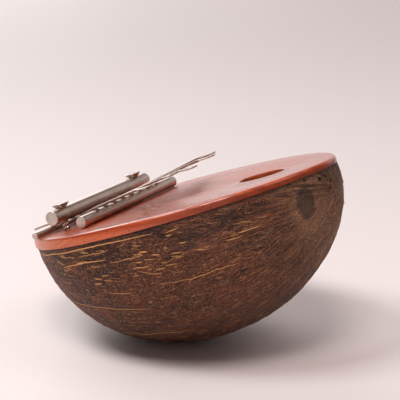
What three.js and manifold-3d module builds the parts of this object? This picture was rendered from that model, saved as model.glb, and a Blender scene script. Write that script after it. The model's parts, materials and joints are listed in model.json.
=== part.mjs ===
// Coconut-shell kalimba (thumb piano): a halved coconut closed by a wooden
// soundboard, with sprung steel tongues clamped between three steel rods.
//
// All sizes in mm. The part stands at its natural rest tilt on the round back
// of the shell, +Z up. The pieces are laid out in the soundboard's own frame
// (x along the board towards the sound hole, y across it, z out of its top
// face), and the whole group is then turned by `tilt` about Y.

import * as THREE from 'three';
import { mergeVertices } from 'three/addons/utils/BufferGeometryUtils.js';
import Module from 'manifold-3d';

const wasm = await Module();
wasm.setup();

// ---------------------------------------------------------------- dimensions

const tilt = THREE.MathUtils.degToRad(18.1);   // sound-hole end raised

// coconut shell: a nut outline turned about its long axis
const shellHalfLength = 66.0;
const shellRadius = 54.0;
const shellWall = 3.5;
const shellFullness = 2.17;                    // exponents of the nut's meridian
const shellShoulder = 1.58;
const eggLinear = -0.058;                      // nut is fuller at the metal end
const eggCubic = 0.036;
const axisHeight = -4.24;                      // nut axis below the board's top face
const axisDip = THREE.MathUtils.degToRad(5.35);    // axis lower at the sound-hole end
const restFlatDepth = 0.5;                     // sanded flat it stands on

// soundboard: closes the cut face of the shell, thinner at the sound-hole end
const seatMiddle = -3.5;                       // underside at mid length
const boardTaper = THREE.MathUtils.degToRad(0.99);
const boardEdge = 1.2;                         // rounded edge
const tipReach = 0.8;                          // its blunt tip stands out past the shell
const tipShare = 0.12;                         // share of the nut over which it does so
const glueGap = 0.3;
const soundHole = { x: 36.3, radius: 9.0 };

// steel rods lying across the board
const seatGap = 0.1;
const rodChamfer = 0.3;
const rearRod = { x: -45.9, z: 1.4, radius: 1.3, length: 77, shift: -0.6 };
const pressureBar = { x: -37.1, z: 6.35, radius: 2.85, length: 75, shift: 0.1 };
const bridgeRod = { x: -24.3, z: 2.4, radius: 2.3, length: 76, shift: 0.2 };

// countersunk wood screws that pull the pressure bar down
const screwSpread = 29.0;                      // either side of the middle
const screwTop = 10.8;
const screwLength = 25.0;
const headRadius = 3.5;
const headRim = 0.35;
const headCone = 2.1;
const neckRadius = 1.5;
const coreRadius = 1.15;
const threadRadius = 1.65;
const threadPitch = 1.4;
const boreRadius = 1.95;
const recess = { span: 3.6, width: 0.9, depth: 1.1 };

// block glued under the board, which the screws bite into
const block = { length: 12, width: 66, height: 10 };

// tongues: flat sprung steel, hammered into a paddle at the playing end
const tinePitch = 7.0;
const tineWidth = 3.0;
const tineThickness = 0.85;
const paddleWidth = 4.4;
const paddleFlare = 1.6;                       // length over which it widens
const paddleSag = 0.25;
const paddleCorner = 1.3;
const splitGap = 0.3;                          // between a tail and its tongue
const bridgeContact = { x: bridgeRod.x, z: 5.45 };

// centre line of the clamped tail: over the rear rod, under the pressure bar,
// up to the bridge
const tailLine = [
  [-55.0, 2.6],
  [-51.0, 3.12],
  [-46.9, 3.43],
  [-45.9, 3.47],
  [-44.5, 3.43],
  [-41.0, 3.03],
  [-38.6, 2.8],
  [-37.1, 2.74],
  [-35.6, 2.86],
  [bridgeContact.x - splitGap / 2, 5.42],
];

// each tongue from one side to the other: where its paddle begins and its tip
const tongues = [
  { paddle: [-4.4, 8.3], tip: [2.5, 8.5] },
  { paddle: [4.4, 9.7], tip: [11.9, 10.6] },
  { paddle: [8.3, 10.2], tip: [15.8, 10.4] },
  { paddle: [13.4, 11.8], tip: [21.0, 12.4] },
  { paddle: [10.6, 12.2], tip: [17.8, 12.8] },
  { paddle: [3.8, 11.0], tip: [11.0, 11.6] },
  { paddle: [-1.6, 9.9], tip: [5.6, 10.5] },
  { paddle: [-7.6, 8.8], tip: [-0.6, 9.4] },
];

// ----------------------------------------------------------------- materials

const wood = { metalness: 0.0, roughness: 0.55 };
const steel = { metalness: 0.9, roughness: 0.35 };
const looks = {
  shell: { color: 0x3a241a, ...wood },
  board: { color: 0xa8461f, ...wood, roughness: 0.4 },
  block: { color: 0xb98a5c, ...wood, roughness: 0.8 },
  rod: { color: 0x8d8378, ...steel },
  screw: { color: 0xa39b90, ...steel },
  tine: { color: 0x97908a, ...steel },
};

// ----------------------------------------------------------- solid operations

function toSolid(geometry) {
  const bare = new THREE.BufferGeometry();
  bare.setAttribute('position', geometry.attributes.position.clone());
  if (geometry.index) {
    bare.setIndex(geometry.index.clone());
  }
  const welded = mergeVertices(bare, 1e-4);
  const index = welded.index.array;
  const triangles = [];
  for (let i = 0; i < index.length; i += 3) {
    const [a, b, c] = index.slice(i, i + 3);
    if (a !== b && b !== c && c !== a) {
      triangles.push(a, b, c);
    }
  }
  const mesh = new wasm.Mesh({
    numProp: 3,
    vertProperties: new Float32Array(welded.attributes.position.array),
    triVerts: new Uint32Array(triangles),
  });
  return new wasm.Manifold(mesh);
}

function toGeometry(solid) {
  const mesh = solid.getMesh();
  const geometry = new THREE.BufferGeometry();
  const position = new THREE.BufferAttribute(new Float32Array(mesh.vertProperties), 3);
  geometry.setAttribute('position', position);
  geometry.setIndex([...mesh.triVerts]);
  geometry.computeVertexNormals();
  return geometry;
}

// a very large box whose top face is the plane z = height + x * tan(slope)
function groundBelow(height, slope) {
  const geometry = new THREE.BoxGeometry(400, 400, 200);
  geometry.translate(0, 0, -100);
  geometry.rotateY(-slope);
  geometry.translate(0, 0, height);
  return toSolid(geometry);
}

// the same, with the plane as its bottom face
function skyAbove(height, slope) {
  const geometry = new THREE.BoxGeometry(400, 400, 200);
  geometry.translate(0, 0, 100);
  geometry.rotateY(-slope);
  geometry.translate(0, 0, height);
  return toSolid(geometry);
}

// a round body about a line along z, from [radius, height] pairs going up
function turned(profile, segments) {
  const points = profile.map(([radius, height]) => new THREE.Vector2(radius, height));
  const geometry = new THREE.LatheGeometry(points, segments);
  geometry.rotateX(Math.PI / 2);
  return geometry;
}

function screwBore(y) {
  const profile = [
    [0, -30],
    [boreRadius, -30],
    [boreRadius, screwTop - headRim - headCone + 0.2],
    [headRadius + 0.25, screwTop - headRim + 0.05],
    [headRadius + 0.25, 20],
    [0, 20],
  ];
  const geometry = turned(profile, 32);
  geometry.translate(pressureBar.x, y, 0);
  return toSolid(geometry);
}

// --------------------------------------------------------------------- shell

function seatHeight(x) {
  return seatMiddle + x * Math.tan(boardTaper);
}

function meridian(s, inset) {
  const full = (1 - Math.abs(s) ** shellFullness) ** (1 / shellShoulder);
  return (shellRadius - inset) * full * (1 + eggLinear * s + eggCubic * s ** 3);
}

// the whole nut as a closed body, its surface moved inwards by `inset`
function nut(inset, rings, segments) {
  const points = [];
  for (let i = 0; i <= rings; i += 1) {
    const s = -Math.cos((Math.PI * i) / rings);
    const onAxis = i === 0 || i === rings;
    const radius = onAxis ? 0 : meridian(s, inset);
    points.push(new THREE.Vector2(radius, (shellHalfLength - inset) * s));
  }
  const geometry = new THREE.LatheGeometry(points, segments);
  geometry.rotateZ(-Math.PI / 2);
  geometry.rotateY(axisDip);
  geometry.translate(0, 0, axisHeight);
  return geometry;
}

// height of a point above the table when the part stands at its rest tilt
function standingHeight(x, z) {
  return x * Math.sin(tilt) + z * Math.cos(tilt);
}

function lowestStandingHeight(geometry) {
  const position = geometry.attributes.position;
  let lowest = Infinity;
  for (let i = 0; i < position.count; i += 1) {
    lowest = Math.min(lowest, standingHeight(position.getX(i), position.getZ(i)));
  }
  return lowest;
}

function shellGeometry() {
  const outside = nut(0, 32, 60);
  const inside = nut(shellWall, 24, 48);
  const table = lowestStandingHeight(outside) + restFlatDepth;
  const solid = toSolid(outside)
    .subtract(toSolid(inside))
    .subtract(skyAbove(seatMiddle - glueGap, boardTaper))
    .subtract(groundBelow(table / Math.cos(tilt), -tilt));
  return toGeometry(solid);
}

// ---------------------------------------------------------------- soundboard

// a point of the board's rim, where the seat plane meets the outside of the nut
function rimPoint(s) {
  const along = shellHalfLength * s;
  const drop = seatHeight(along) - axisHeight + along * Math.sin(axisDip);
  const across = drop / Math.cos(axisDip);
  const x = along * Math.cos(axisDip) + across * Math.sin(axisDip);
  return { x, squared: meridian(s, 0) ** 2 - across ** 2 };
}

// the nut coordinate at which the rim closes, between the middle and one pole
function rimEnd(pole) {
  let inside = 0;
  let outside = pole;
  for (let i = 0; i < 40; i += 1) {
    const middle = (inside + outside) / 2;
    if (rimPoint(middle).squared > 0) {
      inside = middle;
    } else {
      outside = middle;
    }
  }
  return inside;
}

function boardShape() {
  const steps = 36;
  const first = rimEnd(-1);
  const last = rimEnd(1);
  const near = [];
  const far = [];
  for (let i = 0; i <= steps; i += 1) {
    const s = (first + last) / 2 - ((last - first) / 2) * Math.cos((Math.PI * i) / steps);
    const rim = rimPoint(s);
    const y = Math.sqrt(Math.max(rim.squared, 0));
    const x = rim.x - tipReach * Math.max(0, 1 - (s - first) / tipShare) ** 2;
    near.push(new THREE.Vector2(x, -y));
    if (i > 0 && i < steps) {
      far.unshift(new THREE.Vector2(x, y));
    }
  }
  const shape = new THREE.Shape([...near, ...far]);
  const hole = new THREE.Path();
  hole.absarc(soundHole.x, 0, soundHole.radius, 0, Math.PI * 2, true);
  shape.holes.push(hole);
  return shape;
}

function boardGeometry() {
  const depth = 8;
  const geometry = new THREE.ExtrudeGeometry(boardShape(), {
    depth: depth - 2 * boardEdge,
    bevelThickness: boardEdge,
    bevelSize: boardEdge,
    bevelOffset: -boardEdge,
    bevelSegments: 3,
    curveSegments: 24,
  });
  geometry.translate(0, 0, boardEdge - depth);
  const solid = toSolid(geometry)
    .subtract(groundBelow(seatMiddle, boardTaper))
    .subtract(screwBore(-screwSpread))
    .subtract(screwBore(screwSpread));
  return toGeometry(solid);
}

function blockGeometry() {
  const geometry = new THREE.BoxGeometry(block.length, block.width, block.height);
  geometry.translate(0, 0, -block.height / 2);
  geometry.rotateY(-boardTaper);
  geometry.translate(pressureBar.x, 0, seatHeight(pressureBar.x) - glueGap);
  const solid = toSolid(geometry)
    .subtract(screwBore(-screwSpread))
    .subtract(screwBore(screwSpread));
  return toGeometry(solid);
}

// -------------------------------------------------------------- rods, screws

function rodGeometry(rod) {
  const half = rod.length / 2;
  const profile = [
    [0, -half],
    [rod.radius - rodChamfer, -half],
    [rod.radius, rodChamfer - half],
    [rod.radius, half - rodChamfer],
    [rod.radius - rodChamfer, half],
    [0, half],
  ];
  const points = profile.map(([radius, height]) => new THREE.Vector2(radius, height));
  const geometry = new THREE.LatheGeometry(points, 28);
  geometry.translate(rod.x, rod.shift, rod.z);
  return geometry;
}

function pressureBarGeometry() {
  const solid = toSolid(rodGeometry(pressureBar))
    .subtract(screwBore(-screwSpread))
    .subtract(screwBore(screwSpread));
  return toGeometry(solid);
}

// screw shank with one helical ridge, tapering to a point; top at z = 0
function shankGeometry() {
  const length = screwLength - headRim - headCone;
  const rows = Math.round((length / threadPitch) * 4);
  const geometry = new THREE.CylinderGeometry(1, 1, length, 16, rows);
  geometry.rotateX(Math.PI / 2);
  geometry.translate(0, 0, -length / 2);
  const position = geometry.attributes.position;
  for (let i = 0; i < position.count; i += 1) {
    const x = position.getX(i);
    const y = position.getY(i);
    const z = position.getZ(i);
    const turn = Math.atan2(y, x) / (2 * Math.PI) - z / threadPitch;
    const ridge = Math.abs(2 * (turn - Math.floor(turn)) - 1) ** 2;
    const taper = Math.min(1, 0.12 + (z + length) / 3.5);
    const radius = (coreRadius + (threadRadius - coreRadius) * ridge) * taper;
    position.setXY(i, x * radius, y * radius);
  }
  return geometry;
}

function screwGeometry() {
  const headBottom = -headRim - headCone;
  const profile = [
    [0, headBottom - 0.6],
    [coreRadius, headBottom - 0.6],
    [neckRadius, headBottom],
    [headRadius, -headRim],
    [headRadius, -0.08],
    [headRadius - 0.1, 0],
    [0, 0],
  ];
  const shank = shankGeometry();
  shank.translate(0, 0, headBottom);
  const slots = [
    new THREE.BoxGeometry(recess.span, recess.width, recess.depth * 2),
    new THREE.BoxGeometry(recess.width, recess.span, recess.depth * 2),
  ];
  let solid = toSolid(turned(profile, 28)).add(toSolid(shank));
  for (const slot of slots) {
    slot.rotateZ(Math.PI / 5);
    solid = solid.subtract(toSolid(slot));
  }
  return toGeometry(solid);
}

// --------------------------------------------------------------------- tines

// upright strip following a centre line in the x-z plane, `width` wide in y
function strip(line, width) {
  const half = tineThickness / 2;
  const upper = [];
  const lower = [];
  for (let i = 0; i < line.length; i += 1) {
    const [ax, az] = line[Math.max(i - 1, 0)];
    const [bx, bz] = line[Math.min(i + 1, line.length - 1)];
    const length = Math.hypot(bx - ax, bz - az);
    const normal = [-(bz - az) / length, (bx - ax) / length];
    const [x, z] = line[i];
    lower.push(new THREE.Vector2(x - normal[0] * half, z - normal[1] * half));
    upper.unshift(new THREE.Vector2(x + normal[0] * half, z + normal[1] * half));
  }
  const shape = new THREE.Shape([...lower, ...upper]);
  const geometry = new THREE.ExtrudeGeometry(shape, { depth: width, bevelEnabled: false });
  geometry.rotateX(Math.PI / 2);
  geometry.translate(0, width / 2, 0);
  return geometry;
}

function tongueLine(tongue) {
  const start = [bridgeContact.x + splitGap / 2, bridgeContact.z + 0.03];
  const [px, pz] = tongue.paddle;
  const [tx, tz] = tongue.tip;
  const line = [start, [px, pz]];
  const steps = 4;
  for (let i = 1; i <= steps; i += 1) {
    const t = i / steps;
    const sag = paddleSag * 4 * t * (1 - t);
    line.push([px + (tx - px) * t, pz + (tz - pz) * t - sag]);
  }
  return line;
}

// outline of a tongue seen from above: a straight strip with a wider paddle
function tonguePlan(tongue) {
  const start = bridgeContact.x - 2;
  const [px] = tongue.paddle;
  const [tx] = tongue.tip;
  const narrow = tineWidth / 2;
  const wide = paddleWidth / 2;
  const shape = new THREE.Shape();
  shape.moveTo(start, -narrow);
  shape.lineTo(px, -narrow);
  shape.lineTo(px + paddleFlare, -wide);
  shape.lineTo(tx - paddleCorner, -wide);
  shape.quadraticCurveTo(tx, -wide, tx, paddleCorner - wide);
  shape.lineTo(tx, wide - paddleCorner);
  shape.quadraticCurveTo(tx, wide, tx - paddleCorner, wide);
  shape.lineTo(px + paddleFlare, wide);
  shape.lineTo(px, narrow);
  shape.lineTo(start, narrow);
  const geometry = new THREE.ExtrudeGeometry(shape, {
    depth: 30,
    bevelEnabled: false,
    curveSegments: 4,
  });
  return geometry;
}

function tongueGeometry(tongue) {
  const flat = toSolid(strip(tongueLine(tongue), paddleWidth + 2));
  return toGeometry(flat.intersect(toSolid(tonguePlan(tongue))));
}

// ------------------------------------------------------------------ assembly

const assembly = new THREE.Group();

function place(name, geometry, look) {
  const mesh = new THREE.Mesh(geometry, new THREE.MeshStandardMaterial(look));
  mesh.name = name;
  assembly.add(mesh);
  return mesh;
}

place('coconut_shell', shellGeometry(), looks.shell);
place('soundboard', boardGeometry(), looks.board);
place('backing_block', blockGeometry(), looks.block);
place('rear_rod', rodGeometry(rearRod), looks.rod);
place('pressure_bar', pressureBarGeometry(), looks.rod);
place('bridge_rod', rodGeometry(bridgeRod), looks.rod);

const screws = { screw_near: -screwSpread, screw_far: screwSpread };
for (const [name, y] of Object.entries(screws)) {
  const screw = place(name, screwGeometry(), looks.screw);
  screw.position.set(pressureBar.x, y, screwTop);
}

tongues.forEach((tongue, i) => {
  const y = tinePitch * (i - (tongues.length - 1) / 2);
  const tail = place(`tine_${i + 1}_tail`, strip(tailLine, tineWidth), looks.tine);
  const free = place(`tine_${i + 1}_tongue`, tongueGeometry(tongue), looks.tine);
  tail.position.y = y;
  free.position.y = y;
});

// stand it up, with the middle of its bounding box's base at the origin
assembly.rotation.y = -tilt;
const group = new THREE.Group();
group.add(assembly);
group.updateMatrixWorld(true);
const bounds = new THREE.Box3().setFromObject(group, true);
const middle = bounds.getCenter(new THREE.Vector3());
assembly.position.set(-middle.x, -middle.y, -bounds.min.z);

export default group;
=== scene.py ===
"""Looks of a coconut-shell kalimba: half a nut, a reddish soundboard, three steel rods and eight tongues.

Shapes are worked out in millimetres in the soundboard's own frame (x along the board towards the sound
hole, y across it, z out of its top face) and turned into the row's frame, in metres, by `to_row`.
"""

import json
import math
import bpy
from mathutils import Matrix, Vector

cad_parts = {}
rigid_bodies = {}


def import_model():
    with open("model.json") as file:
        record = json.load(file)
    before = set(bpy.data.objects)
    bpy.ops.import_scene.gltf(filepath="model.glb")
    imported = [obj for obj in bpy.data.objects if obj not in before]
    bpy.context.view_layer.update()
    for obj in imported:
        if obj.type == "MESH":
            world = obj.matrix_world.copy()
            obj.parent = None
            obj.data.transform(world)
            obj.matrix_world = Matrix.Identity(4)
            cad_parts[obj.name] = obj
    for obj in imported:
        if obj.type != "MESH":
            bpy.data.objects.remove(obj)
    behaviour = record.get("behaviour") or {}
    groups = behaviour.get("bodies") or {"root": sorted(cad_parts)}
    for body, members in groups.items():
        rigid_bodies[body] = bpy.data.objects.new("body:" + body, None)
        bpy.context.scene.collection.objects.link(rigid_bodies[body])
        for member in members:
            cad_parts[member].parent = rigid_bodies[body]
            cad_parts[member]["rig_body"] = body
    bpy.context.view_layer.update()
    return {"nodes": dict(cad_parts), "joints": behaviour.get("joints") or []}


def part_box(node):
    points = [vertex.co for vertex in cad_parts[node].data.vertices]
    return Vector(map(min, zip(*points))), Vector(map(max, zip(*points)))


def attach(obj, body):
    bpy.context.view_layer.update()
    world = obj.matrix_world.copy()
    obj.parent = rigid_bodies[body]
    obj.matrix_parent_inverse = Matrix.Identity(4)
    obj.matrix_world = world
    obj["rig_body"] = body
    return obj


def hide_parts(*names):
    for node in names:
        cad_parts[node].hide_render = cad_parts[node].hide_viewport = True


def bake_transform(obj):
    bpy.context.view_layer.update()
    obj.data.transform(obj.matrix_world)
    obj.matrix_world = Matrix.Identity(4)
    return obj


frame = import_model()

from types import SimpleNamespace

import bmesh
import bpy
import numpy as np
from mathutils import Matrix, Vector

JOINTS = {joint["name"]: joint for joint in frame["joints"]}
MM = 0.001
RNG = np.random.default_rng(7)

# ---- driving dimensions, mm

NUT_HALF_LENGTH = 66.0
NUT_RADIUS = 54.0
NUT_WALL = 3.5
NUT_FULLNESS = 2.17  # exponents of the nut's meridian
NUT_SHOULDER = 1.58
NUT_EGG_LINEAR = -0.058  # fuller at the metal end
NUT_EGG_CUBIC = 0.036
NUT_AXIS_HEIGHT = -4.24
NUT_AXIS_DIP = math.radians(5.35)

SEAT_MIDDLE = -3.5  # underside of the soundboard at mid length
SEAT_SLOPE = math.tan(math.radians(0.99))
SHELL_CLEARANCE = 0.03  # glue line between the shell's rim and the board
BOARD_EDGE_REACH = 1.0  # how far the rounded upper edge reaches in
BOARD_EDGE_SHARE = 0.7  # share of the thickness it reaches down
BOARD_LOWER_EDGE = 0.5  # rounding of the lower edge
BOARD_OVERHANG = 0.25  # its bulging side past the shell's rim
BOARD_FLAT_INSET = 4.2  # a ring this far in, where the top is flat
TIP_LENGTH = 16.0  # the blunter tip at the metal end: its length, and what it adds
TIP_OVERHANG = 1.5
TIP_EDGE_REACH = 2.9
TIP_REACH = 0.8  # how far its point stands out past the shell
TIP_SHARE = 0.12  # share of the nut's length over which it does
HOLE_X = 36.3
HOLE_RADIUS = 9.0
HOLE_EDGE = 0.45
BOARD_POINTS = 360  # round the board's outline, and round its hole
HOLE_POINTS = 72

BRIDGE_X = -24.3
BRIDGE_CONTACT_Z = 5.45  # middle of a strip where it crosses the bridge

TINE_WIDTH = 3.0
TINE_THICKNESS = 0.85
PADDLE_WIDTH = 4.4
PADDLE_THICKNESS = 0.6
PADDLE_FLARE = 2.4  # length over which the strip widens
PADDLE_CORNER = 1.7  # rounding of the paddle's end
TAIL_LINE = [
    (-55.0, 2.6), (-51.0, 3.12), (-46.9, 3.43), (-45.9, 3.47), (-44.5, 3.43),
    (-41.0, 3.03), (-38.6, 2.8), (-37.1, 2.74), (-35.6, 2.86), (BRIDGE_X, BRIDGE_CONTACT_Z),
]
# where each paddle begins and its tip, (x, z), from one side to the other
PADDLES = [
    ((-4.4, 8.3), (2.5, 8.5)),
    ((4.4, 9.7), (11.9, 10.6)),
    ((8.3, 10.2), (15.8, 10.4)),
    ((13.4, 11.8), (21.0, 12.4)),
    ((10.6, 12.2), (17.8, 12.8)),
    ((3.8, 11.0), (11.0, 11.6)),
    ((-1.6, 9.9), (5.6, 10.5)),
    ((-7.6, 8.8), (-0.6, 9.4)),
]
PADDLE_SAG = 0.25
PADDLE_DENT = 0.09  # depth of the hammer marks
PADDLE_CUP = 0.1  # how far a paddle's edges stand above its middle

SCREW_LENGTH = 25.0
SCREW_HEAD_RADIUS = 3.5
SCREW_HEAD_RIM = 0.35
SCREW_CONE = 2.1
SCREW_NECK_RADIUS = 1.5
SCREW_CORE_RADIUS = 1.15
SCREW_THREAD_RADIUS = 1.65
SCREW_PITCH = 1.4
SCREW_POINT = 3.6  # length over which its point tapers
SCREW_CLEARANCE = 0.12  # round it, in the pressure bar
SCREW_COLUMNS = 40
BAR_CUT_LOW = -2.0  # height at which the cutters of the bar's bores begin
ROD_COLUMNS = 64
ROD_ROWS = 26
ROD_WAVINESS = 0.006  # share of its radius

# ---- the board's frame

BOARD_NORMAL = Vector(JOINTS["clamp_lift"]["axis"])
TILT = math.atan2(-BOARD_NORMAL.x, BOARD_NORMAL.z)
TURN = Matrix.Rotation(-TILT, 3, "Y")
TURN_ROWS = np.array(TURN)


def board_origin():
    """Row-frame place, in mm, of the board frame's origin, from the first tongue's hinge."""
    hinge = Vector(JOINTS["tine_1_pluck"]["pos_m"]) / MM
    in_board = Vector((BRIDGE_X, hinge.y, BRIDGE_CONTACT_Z))
    return np.array(hinge - TURN @ in_board)


ORIGIN = board_origin()


def to_row(points):
    """Board-frame points in mm, as an (n, 3) array, in the row frame in metres."""
    return (np.asarray(points, float) @ TURN_ROWS.T + ORIGIN) * MM


def to_board(point):
    """A row-frame point in metres, in the board frame in mm."""
    return (np.array(point) / MM - ORIGIN) @ TURN_ROWS


# ---- mesh helpers


def add_object(name, data):
    made = bpy.data.objects.new(name, data)
    bpy.context.scene.collection.objects.link(made)
    return made


def add_mesh(name, points, faces, material, body):
    """A smooth-shaded piece from board-frame points; it rides on a CAD body if one is given."""
    mesh = bpy.data.meshes.new(name)
    mesh.from_pydata(to_row(points).tolist(), [], faces)
    mesh.update()
    mesh.polygons.foreach_set("use_smooth", [True] * len(mesh.polygons))
    piece = add_object(name, mesh)
    mesh.materials.append(material)
    if body:
        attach(piece, body)
    return piece


def grid_faces(rows, columns, first=0, wrap=False):
    """Quads over a rows x columns block of vertices; wrap joins the last column to the first."""
    faces = []
    span = columns if wrap else columns - 1
    for i in range(rows - 1):
        for j in range(span):
            k = (j + 1) % columns
            a = first + i * columns
            b = a + columns
            faces.append((a + j, a + k, b + k, b + j))
    return faces


def tube_faces(rows, columns):
    """Quads round a stack of closed rings, with a flat face over each end."""
    faces = grid_faces(rows, columns, wrap=True)
    faces.append(tuple(range(columns)))
    last = (rows - 1) * columns
    faces.append(tuple(last + k for k in reversed(range(columns))))
    return faces


def unit_circle(columns):
    turn = np.linspace(0, 2 * math.pi, columns, endpoint=False)
    return np.column_stack([np.cos(turn), np.sin(turn), np.zeros(columns)])


def set_attribute(piece, name, values):
    layer = piece.data.attributes.new(name, "FLOAT", "POINT")
    layer.data.foreach_set("value", np.asarray(values, np.float32))


def set_uvs(piece, name, uv):
    """A UV layer from one (u, v) pair for each vertex."""
    layer = piece.data.uv_layers.new(name=name)
    corner = np.zeros(len(piece.data.loops), np.int32)
    piece.data.loops.foreach_get("vertex_index", corner)
    layer.data.foreach_set("uv", uv[corner].astype(np.float32).ravel())


def tidy_mesh(piece, merge=0.0):
    """Welds doubled vertices and turns every face outwards."""
    work = bmesh.new()
    work.from_mesh(piece.data)
    if merge:
        bmesh.ops.remove_doubles(work, verts=work.verts, dist=merge)
    bmesh.ops.recalc_face_normals(work, faces=work.faces)
    work.to_mesh(piece.data)
    work.free()


def lattice_value(cells, seed):
    """A repeatable value from -1 to 1 for each whole-number place in an (n, 3) array."""
    factors = np.array([374761393, 668265263, 2246822519], np.uint32)
    mixed = (cells.astype(np.uint32) * factors).sum(axis=1, dtype=np.uint32)
    mixed = mixed + np.uint32(seed * 362437 + 12345)
    mixed = (mixed ^ (mixed >> np.uint32(13))) * np.uint32(1274126177)
    mixed = mixed ^ (mixed >> np.uint32(16))
    return mixed.astype(float) / 2 ** 31 - 1


def smooth_noise(points, seed=0):
    """Smooth noise from -1 to 1 over an (n, 3) array, with features about 1 unit across."""
    cell = np.floor(points).astype(np.int64)
    part = points - cell
    part = part * part * (3 - 2 * part)
    total = 0
    for corner in np.ndindex(2, 2, 2):
        weight = np.where(corner, part, 1 - part).prod(axis=1)
        total = total + weight * lattice_value(cell + corner, seed)
    return total


def smooth_step(low, high, value):
    t = np.clip((value - low) / (high - low), 0, 1)
    return t * t * (3 - 2 * t)


# ---- shader helpers


def colour(display):
    """A display colour, 0 to 255 a channel, as scene-linear RGBA."""
    linear = []
    for channel in display:
        c = channel / 255
        linear.append(c / 12.92 if c <= 0.04045 else ((c + 0.055) / 1.055) ** 2.4)
    return (*linear, 1.0)


class Shader:
    """A node material built up by short calls, most of which return a new node's output."""

    def __init__(self, name):
        self.material = bpy.data.materials.new(name)
        self.material.use_nodes = True
        self.tree = self.material.node_tree
        self.surface = self.tree.nodes["Principled BSDF"]
        self.base = None

    def fill(self, node, inputs):
        for key, value in inputs.items():
            self.feed(node.inputs[key.replace("_", " ")], value)

    def add(self, kind, **inputs):
        made = self.tree.nodes.new(kind)
        self.fill(made, inputs)
        return made

    def feed(self, socket, value):
        """Links an output, or sets a number, a vector or a display colour (red, green, blue)."""
        if isinstance(value, bpy.types.NodeSocket):
            self.tree.links.new(value, socket)
        elif socket.type == "RGBA":
            socket.default_value = colour(value)
        else:
            socket.default_value = value

    def set(self, **inputs):
        self.fill(self.surface, inputs)

    def object_place(self):
        return self.add("ShaderNodeTexCoord").outputs["Object"]

    def attribute(self, name):
        made = self.add("ShaderNodeAttribute")
        made.attribute_name = name
        return made.outputs["Fac"]

    def surface_map(self):
        return self.add("ShaderNodeUVMap").outputs["UV"]

    def scaled(self, place, scale, shift=(0, 0, 0)):
        made = self.add("ShaderNodeMapping", Vector=place, Scale=scale, Location=shift)
        return made.outputs["Vector"]

    def noise(self, place, scale, detail=3.0, roughness=0.5, distortion=0.0, output="Fac"):
        made = self.add("ShaderNodeTexNoise", Vector=place, Scale=scale, Detail=detail)
        self.fill(made, {"Roughness": roughness, "Distortion": distortion})
        return made.outputs[output]

    def shifted(self, place, noise, reach):
        """Places pushed about by a noise colour, up to half the reach either way."""
        kind = "ShaderNodeVectorMath"
        away = self.sum_up(kind, "SUBTRACT", noise, (0.5, 0.5, 0.5))
        return self.sum_up(kind, "MULTIPLY_ADD", away, (reach, reach, 0.0), place)

    def flecks(self, place, share):
        """Separate soft spots, one in each of that share of the cells 1 unit across."""
        made = self.add("ShaderNodeTexVoronoi", Vector=place, Scale=1.0)
        spot = self.ramp(made.outputs["Distance"], 0.18, 0.34, 1.0, 0.0)
        chance = self.add("ShaderNodeSeparateColor", Color=made.outputs["Color"]).outputs["Red"]
        return self.times(spot, self.math("LESS_THAN", chance, share))

    def ramp(self, value, low, high, start=0.0, end=1.0):
        made = self.add(
            "ShaderNodeMapRange", Value=value, From_Min=low, From_Max=high, To_Min=start, To_Max=end
        )
        made.interpolation_type = "SMOOTHSTEP"
        return made.outputs["Result"]

    def sum_up(self, kind, operation, *inputs):
        made = self.add(kind)
        made.operation = operation
        for socket, value in zip(made.inputs, inputs):
            self.feed(socket, value)
        return made.outputs[0]

    def math(self, operation, a, b):
        return self.sum_up("ShaderNodeMath", operation, a, b)

    def times(self, a, b):
        return self.math("MULTIPLY", a, b)

    def blend(self, share, low, high):
        made = self.add("ShaderNodeMix")
        made.data_type = "RGBA"
        self.feed(made.inputs[0], share)
        self.feed(made.inputs[6], low)
        self.feed(made.inputs[7], high)
        return made.outputs[2]

    def paint(self, share, tone):
        """Lays a tone over the base colour by that share."""
        self.base = self.blend(share, self.base, tone)

    def stain(self, pattern, low, high, most, tone):
        """Lays on a tone where a pattern goes from low to high, up to the share `most`."""
        self.paint(self.ramp(pattern, low, high, 0.0, most), tone)

    def bump(self, height, strength, distance):
        made = self.add("ShaderNodeBump", Height=height, Strength=strength, Distance=distance)
        return made.outputs["Normal"]


# ---- materials


# what the shell's mesh tells its material at each vertex
SHELL_MARKS = ("below_rim", "pole", "toward_pole", "eye", "eye_surround", "hollow")


def shell_patterns(s):
    """The marks on the mesh and the noises that the shell's colours follow."""
    place = s.object_place()
    along = s.surface_map()
    wander = s.noise(s.scaled(along, (0.12, 0.12, 1.0)), 1.0, output="Color")
    drift = s.shifted(along, wander, 5.0)
    shiver = s.shifted(drift, s.noise(place, 420.0, 2.0, output="Color"), 1.1)
    return SimpleNamespace(
        **{name: s.attribute(name) for name in SHELL_MARKS},
        broad=s.noise(place, 45.0, 4.0, 0.6),
        patches=s.noise(s.scaled(drift, (0.055, 0.15, 1.0)), 1.0, 4.0, 0.65),
        warm=s.noise(place, 110.0, 3.0, 0.6),
        streaks=s.noise(s.scaled(shiver, (0.3, 1.5, 1.0)), 1.0, 4.0, 0.65),
        hairs=s.noise(s.scaled(shiver, (0.5, 4.5, 1.0), (1.3, 4.4, 0.0)), 1.0, 2.0, 0.6),
        strands=s.noise(s.scaled(drift, (0.12, 2.4, 1.0)), 1.0, 4.0, 0.75),
        grit=s.noise(place, 1150.0, 3.0, 0.7),
        fine=s.noise(s.shifted(place, wander, 0.004), 1500.0, 2.0, 0.6),
        curls=s.noise(place, 850.0, 2.0, 0.6, 2.2),
        flecks=s.flecks(s.scaled(shiver, (0.36, 1.8, 1.0)), 0.26),
        dots=s.flecks(s.scaled(shiver, (0.9, 1.8, 1.0)), 0.36),
    )


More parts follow.
